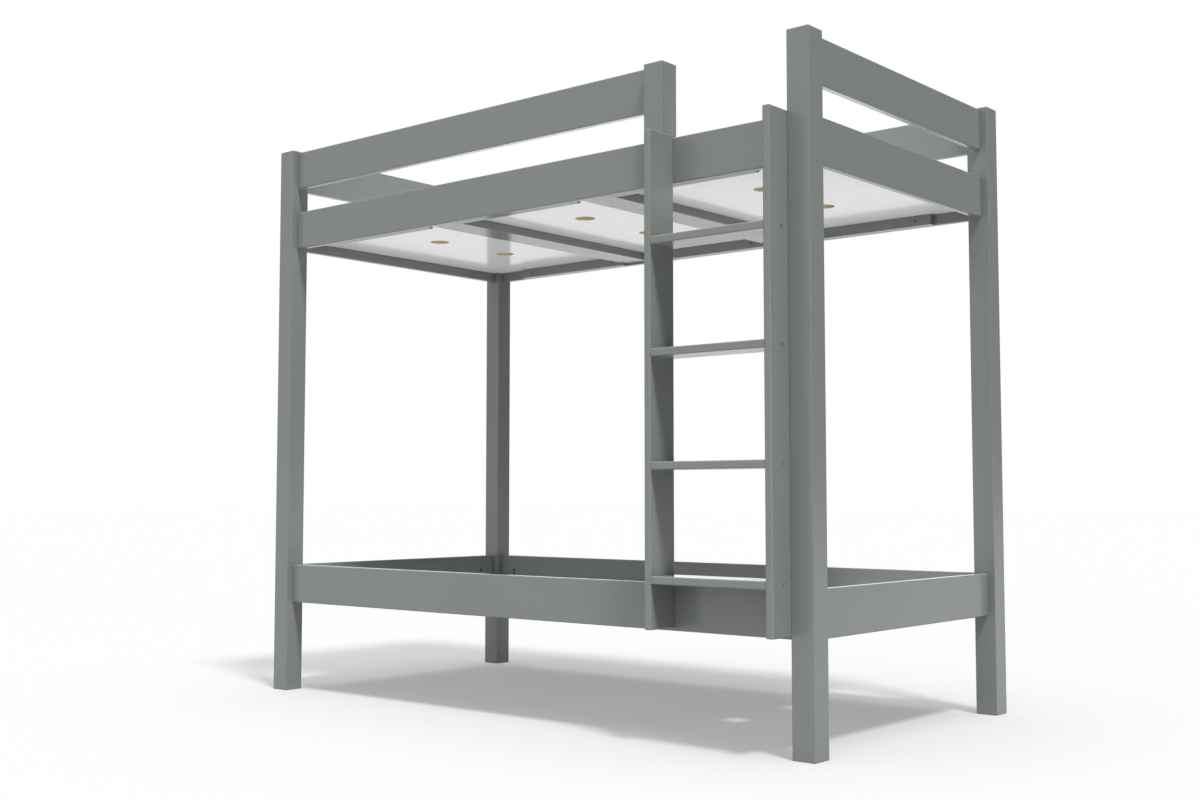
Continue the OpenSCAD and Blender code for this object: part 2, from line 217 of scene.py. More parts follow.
world = bpy.data.worlds.new("studio")
world.use_nodes = True
tree = world.node_tree
towards = add_node(tree, "ShaderNodeTexCoord").outputs["Generated"]
direction = add_node(tree, "ShaderNodeSeparateXYZ", {0: towards})
height = maths(tree, "MAXIMUM", direction.outputs[2], 0.0)
top_light = maths(tree, "MULTIPLY", maths(tree, "POWER", height, WORLD_TOP_FOCUS), WORLD_TOP)
front = maths(tree, "MAXIMUM", maths(tree, "MULTIPLY", direction.outputs[1], -1.0), 0.0)
behind = add_node(tree, "ShaderNodeVectorMath", {0: towards, 1: BACKDROP_SIDE},
                  operation="DOT_PRODUCT").outputs["Value"]
backdrop = maths(tree, "MULTIPLY", ramp(tree, behind, *BACKDROP_EDGE, 0.0, WORLD_BACKDROP),
                 ramp(tree, height, 0.0, BACKDROP_RISE, 1.0, 0.0))
soft_light = maths(tree, "ADD", maths(tree, "MULTIPLY", front, WORLD_FRONT),
                   maths(tree, "ADD", top_light, WORLD_BASE))
soft_light = maths(tree, "ADD", soft_light, backdrop)
seen = add_node(tree, "ShaderNodeLightPath").outputs["Is Camera Ray"]
background = tree.nodes["Background"]
background.inputs["Color"].default_value = (1.0, 1.0, 1.0, 1.0)
tree.links.new(blend(tree, seen, soft_light, 1.0), background.inputs["Strength"])
scene.world = world


def sun_lamp(name, strength, direction, disc):
    """A sun lamp that shines along direction, from a disc that is that wide in the sky."""
    data = bpy.data.lights.new(name, "SUN")
    data.energy = strength
    data.angle = disc
    lamp = bpy.data.objects.new(name, data)
    lamp.rotation_euler = Vector(direction).to_track_quat("-Z", "Y").to_euler()
    scene.collection.objects.link(lamp)


sun_lamp("key", KEY_STRENGTH, KEY_DIRECTION, KEY_DISC)
sun_lamp("ceiling", CEILING_STRENGTH, CEILING_DIRECTION, CEILING_DISC)
print("key light from", [round(-v, 3) for v in KEY_DIRECTION])

# %% [markdown]
# ## The floor
#
# The photograph's floor is a seamless sheet that burns out to white wherever the key light reaches
# it, and even the bed's shadow stays a light grey. A studio gets that from a matte sheet of opal
# plastic lit from below as well as from above: one large square, dark enough as a surface to throw
# little light back up at the bed, with a glow of its own that fills the shadow.

# %% Floor
FLOOR_SIDE = 120.0
FLOOR_GREY = 0.23
FLOOR_ROUGHNESS = 0.9
FLOOR_GLOW = 0.30


def floor_plane(side):
    """A flat square of that side on z = 0."""
    half = side / 2
    corners = [(-half, -half, 0), (half, -half, 0), (half, half, 0), (-half, half, 0)]
    mesh = bpy.data.meshes.new("floor")
    mesh.from_pydata(corners, [], [(0, 1, 2, 3)])
    floor = bpy.data.objects.new("floor", mesh)
    scene.collection.objects.link(floor)
    return floor


floor = floor_plane(FLOOR_SIDE)
floor_material, tree, shader = new_material("studio_floor")
shader.inputs["Base Color"].default_value = (FLOOR_GREY, FLOOR_GREY, FLOOR_GREY, 1.0)
shader.inputs["Roughness"].default_value = FLOOR_ROUGHNESS
shader.inputs["Specular IOR Level"].default_value = 0.0
shader.inputs["Emission Color"].default_value = (1.0, 1.0, 1.0, 1.0)
shader.inputs["Emission Strength"].default_value = FLOOR_GLOW
floor.data.materials.append(floor_material)
print("floor", FLOOR_SIDE, "m square")

# %% [markdown]
# ## Grey-green lacquer
#
# All the wood is sprayed with two coats of opaque satin lacquer. The colour hides the wood, but its
# relief doesn't vanish: fibres and growth rings still swell a hundredth of a millimetre through the
# film, and the film itself dries with a faint orange peel. So the tree has one height for each of
# those, laid one over the other, and the colour only drifts by a twentieth over the length of a
# board.
#
# Fibres run along a board, so the noise is drawn out along one axis and the same tree is made three
# times, for boards that lie along x, y and z. Two masks come from the direction that a face looks
# in: on the rounded edges no axis wins, and there the film is thinner, a little rubbed and duller,
# and in patches it is also painted lighter, as a painted highlight along the edge; on the sawn ends
# the face looks along the grain, and there the open pores drink more lacquer and leave it darker and
# duller. Patterns are counted in bumps to the metre and reliefs are in metres.

# %% Lacquer
LACQUER = (0.150, 0.1625, 0.1525, 1.0)
LACQUER_DARK = (0.143, 0.1555, 0.1455, 1.0)
# The lighter edge colour is partly rubbed wear and partly a painted highlight along rounded edges.
LACQUER_RUBBED_AND_HIGHLIT = (0.172, 0.184, 0.172, 1.0)
LACQUER_ON_END = tuple(part * 0.72 for part in LACQUER[:3]) + (1.0,)
LACQUER_ROUGHNESS = (0.23, 0.18)
LACQUER_IOR = 1.5
EDGE_WEAR_AND_HIGHLIGHT = 0.35
EDGE_DULLER = 0.08
END_DULLER = 0.22
GRAIN_STRETCH = 22
FIBRES, STREAKS, RING_BENDS = 850.0, 60.0, 9.0
RINGS_PER_BEND = 9.0
PEEL, TONE, RUBBED_AND_HIGHLIT_SPOTS, PORES = 520.0, 2.3, 34.0, 900.0
DRIFT_SPAN = (0.35, 0.62)
FIBRE_RELIEF = 0.00001
RING_RELIEF = 0.000008
PEEL_RELIEF = 0.000004
END_RELIEF = 0.00012


def lacquer(name, grain_axis):
    """Satin lacquer over planed wood whose grain runs along x, y or z (0, 1, 2)."""
    material, tree, shader = new_material(name)
    place = add_node(tree, "ShaderNodeTexCoord").outputs["Object"]
    drawn_out = [1.0, 1.0, 1.0]
    drawn_out[grain_axis] = 1 / GRAIN_STRETCH
    along = scaled(tree, place, drawn_out)

    fibres = noise(tree, along, FIBRES, detail=3.0, roughness=0.6)
    wander = noise(tree, along, RING_BENDS)
    rings = maths(tree, "FRACT", maths(tree, "MULTIPLY", wander, RINGS_PER_BEND))
    rings = ramp(tree, maths(tree, "PINGPONG", rings, 0.5), 0.0, 0.5)
    tone = noise(tree, place, TONE, detail=3.0)
    streaks = noise(tree, along, STREAKS)
    peel = noise(tree, place, PEEL, detail=1.0)

    face = face_direction(tree)
    squarest = maths(tree, "MAXIMUM", maths(tree, "MAXIMUM", face[0], face[1]), face[2])
    spots = noise(tree, place, RUBBED_AND_HIGHLIT_SPOTS, detail=4.0, roughness=0.65)
    edge = maths(tree, "MULTIPLY", ramp(tree, squarest, 0.985, 0.85), ramp(tree, spots, 0.42, 0.66))
    end = ramp(tree, face[grain_axis], 0.8, 0.95)
    pits = ramp(tree, noise(tree, place, PORES, roughness=0.7), 0.36, 0.5)

    drift = maths(tree, "ADD", maths(tree, "MULTIPLY", tone, 0.65),
                  maths(tree, "MULTIPLY", streaks, 0.35))
    film = tinted(tree, ramp(tree, drift, *DRIFT_SPAN), LACQUER_DARK, LACQUER)
    soaked = maths(tree, "MULTIPLY", end, ramp(tree, pits, 0.0, 1.0, 0.75, 0.25))
    film = tinted(tree, soaked, film, LACQUER_ON_END)
    # Rounded edges are painted lighter in patches: rubbed wear and a painted highlight together.
    film = tinted(tree, maths(tree, "MULTIPLY", edge, EDGE_WEAR_AND_HIGHLIGHT), film, LACQUER_RUBBED_AND_HIGHLIT)
    tree.links.new(film, shader.inputs["Base Color"])

    rough = ramp(tree, drift, *DRIFT_SPAN, *LACQUER_ROUGHNESS)
    rough = maths(tree, "ADD", rough, maths(tree, "MULTIPLY", edge, EDGE_DULLER))
    rough = maths(tree, "ADD", rough, maths(tree, "MULTIPLY", end, END_DULLER))
    tree.links.new(rough, shader.inputs["Roughness"])

    surface = relief(tree, rings, RING_RELIEF)
    surface = relief(tree, fibres, FIBRE_RELIEF, surface)
    surface = relief(tree, peel, PEEL_RELIEF, surface)
    surface = relief(tree, maths(tree, "MULTIPLY", pits, end), END_RELIEF, surface)
    tree.links.new(surface, shader.inputs["Normal"])
    shader.inputs["IOR"].default_value = LACQUER_IOR
    return material


LONG = lacquer("lacquer_along_x", 0)
CROSS = lacquer("lacquer_along_y", 1)
UPRIGHT = lacquer("lacquer_along_z", 2)
print("lacquer:", LONG.name, CROSS.name, UPRIGHT.name)

# %% [markdown]
# ## White melamine-faced board
#
# The bed base is chipboard with a white paper face pressed on in hot resin, which is why it mirrors
# the posts and beams while the frame only gleams. The faces get a hard smooth gloss with the faint
# pearl pattern of the press plate, and the faces that look down are painted a greyer white, as
# painted shade on the underside. Every cut, at the rim and in the holes that let the
# mattress breathe, shows the raw core: flat chips of different browns with dust between them. A
# Voronoi cell per chip gives each its own tint and its own height, and the face's direction says
# where the paper ends and the core begins.

# %% Melamine and chipboard
TOP_PAPER = (0.90, 0.90, 0.90, 1.0)
# The greyer white of faces that look down is painted shade on the board's underside.
PAPER_IN_PAINTED_SHADE = (0.72, 0.72, 0.72, 1.0)
PAPER_TINT = (0.70, 0.70, 0.69, 1.0)
CHIP_DARK = (0.138, 0.100, 0.045, 1.0)
CHIP_MID = (0.250, 0.200, 0.100, 1.0)
CHIP_LIGHT = (0.350, 0.300, 0.172, 1.0)
CORE_ROUGHNESS = 0.85
PAPER_ROUGHNESS = (0.15, 0.11)
PAPER_IOR = 1.38
PEARL, CLOUD, CHIPS, DUST = 420.0, 3.0, 330.0, 1500.0
CLOUD_SPAN = (0.35, 0.65)
CHIP_BENDS = 160.0
CHIP_BEND_REACH = (0.004, 0.004, 0.002)
CHIP_FLATNESS = (1.0, 1.0, 2.6)
PEARL_RELIEF = 0.000004
CHIP_RELIEF = 0.0003


def melamine_board(name):
    """White faces on chipboard: the core shows wherever a face doesn't look up or down."""
    material, tree, shader = new_material(name)
    place = add_node(tree, "ShaderNodeTexCoord").outputs["Object"]
    face = face_direction(tree)
    core = ramp(tree, face[2], 0.75, 0.6)

    pearl = noise(tree, place, PEARL, detail=1.0)
    cloud = noise(tree, place, CLOUD, detail=3.0)
    normal = add_node(tree, "ShaderNodeTexCoord").outputs["Normal"]
    upward = add_node(tree, "ShaderNodeSeparateXYZ", {0: normal}).outputs[2]
    # Faces that look down get the greyer white: painted shade on the underside.
    paper = tinted(tree, ramp(tree, upward, -0.1, 0.1), PAPER_IN_PAINTED_SHADE, TOP_PAPER)
    paper = tinted(tree, ramp(tree, cloud, *CLOUD_SPAN, 0.35, 0.0), paper, PAPER_TINT)

    bends = add_node(tree, "ShaderNodeTexNoise",
                     {"Vector": place, "Scale": CHIP_BENDS, "Detail": 2.0})
    bent_place = add_node(tree, "ShaderNodeVectorMath",
                          {0: bends.outputs["Color"], 1: CHIP_BEND_REACH, 2: place},
                          operation="MULTIPLY_ADD")
    flat_place = scaled(tree, bent_place.outputs[0], CHIP_FLATNESS)
    chips = add_node(tree, "ShaderNodeTexVoronoi", {"Vector": flat_place, "Scale": CHIPS})
    tint = add_node(tree, "ShaderNodeSeparateColor", {0: chips.outputs["Color"]})
    dust = noise(tree, place, DUST)
    wood = tinted(tree, ramp(tree, tint.outputs[0], 0.0, 0.6), CHIP_DARK, CHIP_MID)
    wood = tinted(tree, ramp(tree, tint.outputs[1], 0.45, 1.0), wood, CHIP_LIGHT)
    wood = tinted(tree, ramp(tree, dust, 0.55, 0.75, 0.0, 0.6), wood, CHIP_DARK)
    tree.links.new(tinted(tree, core, paper, wood), shader.inputs["Base Color"])

    smooth = ramp(tree, cloud, *CLOUD_SPAN, *PAPER_ROUGHNESS)
    tree.links.new(blend(tree, core, smooth, CORE_ROUGHNESS), shader.inputs["Roughness"])

    shader.inputs["IOR"].default_value = PAPER_IOR
    surface = relief(tree, pearl, PEARL_RELIEF)
    torn = maths(tree, "MULTIPLY", maths(tree, "ADD", tint.outputs[2], dust), core)
    surface = relief(tree, torn, CHIP_RELIEF, surface)
    tree.links.new(surface, shader.inputs["Normal"])
    return material


WHITE_BOARD = melamine_board("white_board")
print("board:", WHITE_BOARD.name)

# %% [markdown]
# ## Zinc-plated steel and beech
#
# Bolts, nuts and washers are steel with a bright zinc plating: a metal that is never quite even,
# because the plating grows as fine crystals and the barrel that it is done in leaves small scuffs.
# The screws in the ledgers show as dark dots in the photograph, so their zinc is passivated black.
# The heads in the stiles have nearly the lacquer's own tone and only their sockets are dark, which
# is how a dull grey zinc-nickel looks. One tree makes all three from a few colours. The dowels are
# bare beech, known by its short dark flecks. All are small, so their finest patterns have more than
# a thousand bumps to the metre.

# %% Zinc and beech
TARNISH, CRYSTALS, SCUFFS = 190.0, 2600.0, 1500.0
SCUFF_STRETCH = (1.0, 0.2, 1.0)
SCUFF_SHARE = 0.4
SCUFF_DULLER = 0.15
CRYSTAL_GLINT = 0.06
CRYSTAL_RELIEF = 0.000006
SCUFF_RELIEF = 0.00001
BEECH_PALE = (0.62, 0.42, 0.26, 1.0)
BEECH_BROWN = (0.50, 0.32, 0.18, 1.0)
BEECH_FLECK = (0.30, 0.16, 0.08, 1.0)
BEECH_CLOUD, FLECKS = 120.0, 1400.0
FLECK_SHARE = 0.6
FLECK_RELIEF = 0.00003


def zinc_plated(name, cool, warm, scuffed, roughness):
    """Zinc on steel: crystals and tumbling scuffs, in a plating that drifts from cool to warm."""
    material, tree, shader = new_material(name)
    place = add_node(tree, "ShaderNodeTexCoord").outputs["Object"]
    cloud = noise(tree, place, TARNISH, detail=3.0)
    crystals = noise(tree, place, CRYSTALS)
    scuffs = noise(tree, scaled(tree, place, SCUFF_STRETCH), SCUFFS, detail=4.0, roughness=0.7)
    scuffs = ramp(tree, scuffs, 0.5, 0.72)
    metal = tinted(tree, ramp(tree, cloud, *CLOUD_SPAN), cool, warm)
    metal = tinted(tree, maths(tree, "MULTIPLY", scuffs, SCUFF_SHARE), metal, scuffed)
    tree.links.new(metal, shader.inputs["Base Color"])
    shader.inputs["Metallic"].default_value = 1.0
    rough = ramp(tree, crystals, 0.3, 0.7, roughness - CRYSTAL_GLINT, roughness + CRYSTAL_GLINT)
    rough = maths(tree, "ADD", rough, maths(tree, "MULTIPLY", scuffs, SCUFF_DULLER))
    tree.links.new(rough, shader.inputs["Roughness"])
    surface = relief(tree, crystals, CRYSTAL_RELIEF)
    tree.links.new(relief(tree, scuffs, SCUFF_RELIEF, surface), shader.inputs["Normal"])
    return material


def bare_beech(name):
    """Turned beech: pinkish brown, fine pores, short dark flecks along the grain."""
    material, tree, shader = new_material(name)
    place = add_node(tree, "ShaderNodeTexCoord").outputs["Object"]
    cloud = noise(tree, place, BEECH_CLOUD, detail=3.0)
    flecks = ramp(tree, noise(tree, place, FLECKS, roughness=0.6), 0.56, 0.66)
    wood = tinted(tree, ramp(tree, cloud, *CLOUD_SPAN), BEECH_BROWN, BEECH_PALE)
    wood = tinted(tree, maths(tree, "MULTIPLY", flecks, FLECK_SHARE), wood, BEECH_FLECK)
    tree.links.new(wood, shader.inputs["Base Color"])
    tree.links.new(ramp(tree, cloud, 0.3, 0.7, 0.55, 0.7), shader.inputs["Roughness"])
    tree.links.new(relief(tree, flecks, FLECK_RELIEF), shader.inputs["Normal"])
    return material


ZINC = zinc_plated("bright_zinc", cool=(0.60, 0.61, 0.62, 1.0), warm=(0.70, 0.69, 0.65, 1.0),
                   scuffed=(0.42, 0.42, 0.42, 1.0), roughness=0.30)
DULL_ZINC = zinc_plated("dull_zinc", cool=(0.30, 0.31, 0.30, 1.0), warm=(0.36, 0.36, 0.34, 1.0),
                        scuffed=(0.20, 0.20, 0.20, 1.0), roughness=0.44)
BLACK_ZINC = zinc_plated("black_zinc", cool=(0.055, 0.058, 0.062, 1.0),
                         warm=(0.085, 0.082, 0.072, 1.0), scuffed=(0.30, 0.30, 0.29, 1.0),
                         roughness=0.42)
BEECH = bare_beech("bare_beech")
print("small parts:", ZINC.name, DULL_ZINC.name, BLACK_ZINC.name, BEECH.name)

# %% [markdown]
# ## Each piece gets its finish
#
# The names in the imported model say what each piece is. Panels are white board; posts and ladder
# stiles stand upright; end rails and the beams under the panels lie along y; every other board lies
# along x; and the groups of fasteners are metal or beech.

# %% Finishes by name
METAL_WORDS = ("screws", "bolts", "nuts", "washers")
FITTING_WORDS = METAL_WORDS + ("dowels",)


def finish_for(name):
    """The material for a piece, read from its name."""
    if name.endswith(METAL_WORDS):
        return ZINC
    if name.endswith("dowels"):
        return BEECH
    if "panel" in name:
        return WHITE_BOARD
    if "post" in name or "stile" in name:
        return UPRIGHT
    if name.endswith(("rail_left", "rail_right")) or "beam" in name:
        return CROSS
    return LONG


for name, piece in nodes.items():
    piece.data.materials.clear()
    piece.data.materials.append(finish_for(name))
print("finished:", len(nodes), "pieces")

# %% [markdown]
# ## Taking the fittings apart
#
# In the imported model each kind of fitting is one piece: all the bolts, all the nuts. To give every
# one of them a real thread or recess, such a piece is first split into its solids. Triangles that
# share a point belong to the same solid: each point starts with a number of its own and takes the
# lowest number in its triangles, again and again until nothing changes.
#
# A solid's own sides then say how it lies. The side that differs most from the middle one is its
# axis, long for a screw and short for a nut, and the wider end is the head. A corner's direction is
# kept as well, because a nut is drawn around it.

# %% Places of the fittings
SAME_POINT = 1e5
END_DEPTH = 3e-4


def solids_in(node):
    """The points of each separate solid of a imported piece, as one array per solid, in metres.
    Points within one part in SAME_POINT of a metre are one."""
    mesh = node.data
    corners = np.empty(len(mesh.vertices) * 3, dtype=np.float32)
    mesh.vertices.foreach_get("co", corners)
    turn = np.array(node.matrix_world)
    corners = corners.reshape(-1, 3) @ turn[:3, :3].T + turn[:3, 3]
    used = np.empty(len(mesh.loops), dtype=np.int64)
    mesh.loops.foreach_get("vertex_index", used)
    spots = np.round(corners * SAME_POINT).astype(np.int64)
    points, number = np.unique(spots, axis=0, return_inverse=True)
    triangles = number.reshape(-1)[used].reshape(-1, 3)
    label = np.arange(len(points))
    settled = False
    while not settled:
        lowest = label[triangles].min(axis=1)
        lower = label.copy()
        np.minimum.at(lower, triangles.reshape(-1), np.repeat(lowest, 3))
        lower = lower[lower]
        settled = bool((lower == label).all())
        label = lower
    return [points[label == one] / SAME_POINT for one in np.unique(label)]


def lie_of(points):
    """Where one solid's head is, the direction from there to its tip and the one to its widest
    point, and its length and half width."""
    low, high = points.min(axis=0), points.max(axis=0)
    size = high - low
    axis = int(np.argmax(np.abs(size - np.median(size))))
    middle = (low + high) / 2
    across = points - middle
    across[:, axis] = 0.0
    width = np.linalg.norm(across, axis=1)
    at_low = width[points[:, axis] < low[axis] + END_DEPTH].max()
    at_high = width[points[:, axis] > high[axis] - END_DEPTH].max()
    along = np.zeros(3)
    along[axis] = 1.0 if at_low >= at_high else -1.0
    widest = across[np.argmax(width)] / width.max()
    return middle - along * size[axis] / 2, along, widest, size[axis], width.max()


def places_of(name):
    """Head, direction along, direction across, length and half width of every solid of a piece."""
    lies = [lie_of(points) for points in solids_in(nodes[name])]
    heads, along, across = (np.array([lie[k] for lie in lies]) for k in range(3))
    return heads, along, across, float(lies[0][3]), float(lies[0][4])


for name in nodes:
    if name.endswith(FITTING_WORDS):
        found = places_of(name)
        print(name, len(found[0]), "length", round(found[3] * 1000, 2),
              "width", round(found[4] * 2000, 2))

# %% [markdown]
# ## Rings and ridges
#
# Two surfaces make every fitting. The first is turned: rings around an axis, each at its place
# along it, whose radius may change with the angle, so that the same grid gives a round shank, a
# six-sided nut, the cross in a screw's head or the flutes of a dowel. Its two ends close on points of
# the axis, or its last ring joins the first where there is a bore. The second is a ridge: a small
# triangle carried along a helix and thinned out at both ends, laid half into the shank, which is
# just what a rolled thread is.

# %% Turned shapes and threads
THREAD_RUN_OUT = 0.7
THREAD_TIP = 0.03
THREAD_SUNK = 0.93
SHARP_EDGE = math.radians(32.0)


def ring_faces(rings, around, closed):
    """Quads between neighbouring rings of a grid, numbered ring by ring, turned outwards."""
    ring, step = np.meshgrid(np.arange(rings if closed else rings - 1), np.arange(around),
                             indexing="ij")
    here, there = ring * around, (ring + 1) % rings * around
    beside = (step + 1) % around
    quads = np.stack([here + step, here + beside, there + beside, there + step], axis=-1)
    return quads.reshape(-1, 4)


def turned(along, radius, closed=False):
    """A surface of rings: ring i lies at along[i], and its points have the distances radius[i]
    from the axis at equal angles. Millimetres in; points, quads and triangles out."""
    along, radius = np.asarray(along, dtype=float), np.asarray(radius, dtype=float)
    rings, around = radius.shape
    angle = np.arange(around) * 2 * math.pi / around
    points = np.stack([radius * np.cos(angle), radius * np.sin(angle),
                       np.broadcast_to(along[:, None], radius.shape)], axis=-1).reshape(-1, 3)
    quads = ring_faces(rings, around, closed)
    if closed:
        return points, quads, np.zeros((0, 3), dtype=int)
    step = np.arange(around)
    beside = (step + 1) % around
    first, last = len(points), len(points) + 1
    last_ring = (rings - 1) * around
    near = np.stack([np.full(around, first), beside, step], axis=-1)
    far = np.stack([last_ring + step, last_ring + beside, np.full(around, last)], axis=-1)
    points = np.vstack([points, [[0, 0, along[0]], [0, 0, along[-1]]]])
    return points, quads, np.vstack([near, far])


def ridge(start, end, pitch, root, crest, share, steps=16):
    """A thread: a triangle share of a pitch wide carried along a helix from start to end. root and
    crest are radii at places along the axis, each a pair of lists for a straight-line table. The
    foot is sunk into the shank, and the crest rises over most of the first turn and falls over
    most of the last."""
    count = int(round((end - start) / pitch * steps)) + 1
    place = np.linspace(start, end, count)
    angle = (place - start) / pitch * 2 * math.pi
    inner, outer = np.interp(place, *root), np.interp(place, *crest)
    risen = np.minimum(1.0, np.minimum(place - start, end - place) / pitch / THREAD_RUN_OUT)
    outer = inner + (outer - inner) * (THREAD_TIP + (1 - THREAD_TIP) * risen)
    reach = np.stack([inner * THREAD_SUNK, outer, inner * THREAD_SUNK], axis=-1)
    offset = np.array([0.5, 0.0, -0.5]) * share * pitch
    points = np.stack([reach * np.cos(angle)[:, None], reach * np.sin(angle)[:, None],
                       place[:, None] + offset], axis=-1).reshape(-1, 3)
    last = 3 * (count - 1)
    return points, ring_faces(count, 3, False), np.array([[2, 1, 0], [last, last + 1, last + 2]])


def joined(*shapes):
    """Several shapes as one, with their faces renumbered."""
    start = np.cumsum([0] + [len(shape[0]) for shape in shapes])
    return (np.vstack([shape[0] for shape in shapes]),
            np.vstack([shape[1] + at for shape, at in zip(shapes, start)]),
            np.vstack([shape[2] + at for shape, at in zip(shapes, start)]))


def fitted(name, node, shape, material, turns=None):
    """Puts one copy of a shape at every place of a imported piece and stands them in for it. The
    shape's x, y and z become the directions across, sideways and along, in millimetres."""
    heads, along, across, _, _ = places_of(node)
    sideways = np.cross(along, across)
    if turns is not None:
        cosine, sine = np.cos(turns)[:, None], np.sin(turns)[:, None]
        across, sideways = across * cosine + sideways * sine, sideways * cosine - across * sine
    points, quads, triangles = shape
    axes = np.stack([across, sideways, along], axis=1) / 1000
    spread = (heads[:, None, :] + np.einsum("pk,nkc->npc", points, axes)).reshape(-1, 3)
    shift = (np.arange(len(heads)) * len(points))[:, None, None]
    faces = (quads + shift).reshape(-1, 4).tolist() + (triangles + shift).reshape(-1, 3).tolist()
    mesh = bpy.data.meshes.new(name)
    mesh.from_pydata(spread.tolist(), [], faces)
    mesh.shade_smooth()
    mesh.set_sharp_from_angle(angle=SHARP_EDGE)
    mesh.materials.append(material)
    piece = bpy.data.objects.new(name, mesh)
    scene.collection.objects.link(piece)
    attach(piece, "frame")
    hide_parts(node)
    print(name, len(heads), "copies of", len(quads) * 2 + len(triangles), "triangles")


def circle(radius, around):
    """One ring's radii when it is round."""
    return np.full(around, float(radius))


def polygon(flat, sides, around):
    """One ring's radii when it has straight sides at that distance, with a corner at angle 0:
    the distance divided by the cosine of the angle to the nearest side's middle."""
    angle = np.arange(around) * 2 * math.pi / around
    part = 2 * math.pi / sides
    return flat / np.cos(angle % part - part / 2)


# %% [markdown]
# ## Screws
#
# All the screws have a countersunk head, a plain neck, a coarse wood thread and a point. The rung
# screws and the ones that hold the ladder are pulled up hard, so they have a six-sided socket; the
# short ones in the ledgers and the guard post have a cross. Twenty-four points go around: a cross
# whose arms are cut at the tangent of fifteen degrees and a hexagon both have all their corners on
# such a ring. Nobody lines screws up, so each is turned by an angle of its own.

# %% Screws
AROUND = 24
ARM_EDGE = math.tan(math.radians(15.0))
WOOD_PITCH = 2.5
SHORT_PITCH = 1.8
SOCKET_FLAT = 0.36
CROSS_REACH = 0.56
RECESS_DEPTH = 0.42
rng = np.random.default_rng(17)


def cross_recess(reach):
    """A cross's outline: an arm's end where it is nearer, else the arm's flank, in each quarter."""
    angle = np.arange(AROUND) * 2 * math.pi / AROUND
    off_arm = np.abs((angle + math.pi / 4) % (math.pi / 2) - math.pi / 4)
    return np.minimum(reach / np.cos(off_arm), reach * ARM_EDGE / np.maximum(np.sin(off_arm), 1e-6))


def wood_screw(length, head, pitch, recess, depth):
    """A countersunk screw from its recess, over the head and down the shank, to the point. The
    shank is half as thick as the head, and its thread starts a third of the way down. A line of
    the profile is the place along the axis and the ring that lies there."""
    rod, rim = head / 2, head - 0.12
    core = rod * 0.66
    neck, taper = max(length * 0.34, head), length - rod * 2.4
    profile = [
        (depth, recess * 0.3),                          # floor of the recess
        (depth * 0.8, recess * 0.86),
        (0.12, recess),
        (0.0, recess * 1.05),                           # mouth of the recess, face of the head
        (0.0, circle(rim, AROUND)),
        (0.07, circle(rim + 0.03, AROUND)),             # rounded rim
        (head - rod, circle(rod, AROUND)),              # under the countersunk head
        (neck, circle(rod, AROUND)),                    # end of the plain neck
        (neck + 0.5, circle(core, AROUND)),
        (taper, circle(core, AROUND)),
        (length - 0.25, circle(rod * 0.12, AROUND)),    # point
    ]
    along, radius = zip(*profile)
    root = ([neck, taper, length], [core, core, rod * 0.1])
    crest = ([neck, taper, length], [rod, rod, rod * 0.25])
    return joined(turned(along, radius), ridge(neck, length - 0.6, pitch, root, crest, share=0.5))


def screws(node, pitch, socket, material):
    """Makes one group of screws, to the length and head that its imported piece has. Sizes of the
    recess are shares of the head's half width."""
    heads, _, _, length, head = places_of(node)
    length, head = length * 1000, head * 1000
    recess = polygon(head * SOCKET_FLAT, 6, AROUND) if socket else cross_recess(head * CROSS_REACH)
    shape = wood_screw(length, head, pitch, recess, depth=head * RECESS_DEPTH)
    turns = rng.uniform(0, 2 * math.pi, len(heads))
    name = node + ("_with_socket" if socket else "_with_cross")
    fitted(name, node, shape, material, turns)


screws("rung_screws", WOOD_PITCH, True, DULL_ZINC)
screws("ladder_fixing_screws", WOOD_PITCH, True, DULL_ZINC)
screws("guard_post_screws", SHORT_PITCH, False, BLACK_ZINC)
screws("ledger_screws", SHORT_PITCH, False, BLACK_ZINC)

# %% [markdown]
# ## Bolts, nuts and washers
#
# Each rail end is drawn up by a hanger bolt. Its coarse end is screwed into the post, its fine end
# comes out in a pocket on the inside of the rail, and there a washer and a hexagon nut pull on it.
# Only that end can be seen, but both have their own thread. The bolt's wide end is the coarse one,
# so the measure along it starts inside the post. A nut's chamfer is a cone that cuts the hexagon:
# near both faces each ring takes whichever is nearer to the axis, which gives the curved line that
# real nuts have on their flats.

# %% Bolts, nuts and washers
BOLT_ROD = 3.0
COARSE_LENGTH, COARSE_POINT, COARSE_PITCH = 20.0, 6.0, 3.0
FINE_LENGTH, FINE_PITCH = 30.0, 1.0
NUT_CHAMFER = math.tan(math.radians(30.0))
NUT_FACE = 0.95
BORE_CHAMFER = 0.4
BORE_CHAMFER_DEPTH = 0.45
WASHER_PLAY = 0.2
WASHER_ROUNDING = 0.2
WASHER_AROUND = 40


def hanger_bolt(length, coarse):
    """A rod with a coarse pointed thread at its start and a fine one at its end. A line of the
    profile is the place along the axis and the radius there."""
    core, fine_core = coarse * 0.7, BOLT_ROD * 0.83
    fine = length - FINE_LENGTH
    profile = [
        (0.2, 0.5),                         # point
        (COARSE_POINT, core),
        (COARSE_LENGTH, core),
        (COARSE_LENGTH + 0.8, BOLT_ROD),    # plain shank between the threads
        (fine, BOLT_ROD),
        (fine + 0.5, fine_core),
        (length - 0.7, fine_core),
        (length, fine_core - 0.6),          # chamfered end
    ]
    along, radii = zip(*profile)
    pointed = [0.0, COARSE_POINT]
    wood = ridge(0.5, COARSE_LENGTH, COARSE_PITCH, (pointed, [0.4, core]),
                 (pointed, [0.9, coarse]), share=0.5)
    metal = ridge(fine, length - 0.4, FINE_PITCH, ([fine], [fine_core]),
                  ([fine], [BOLT_ROD]), share=0.98, steps=12)
    return joined(turned(along, [circle(r, AROUND) for r in radii]), wood, metal)


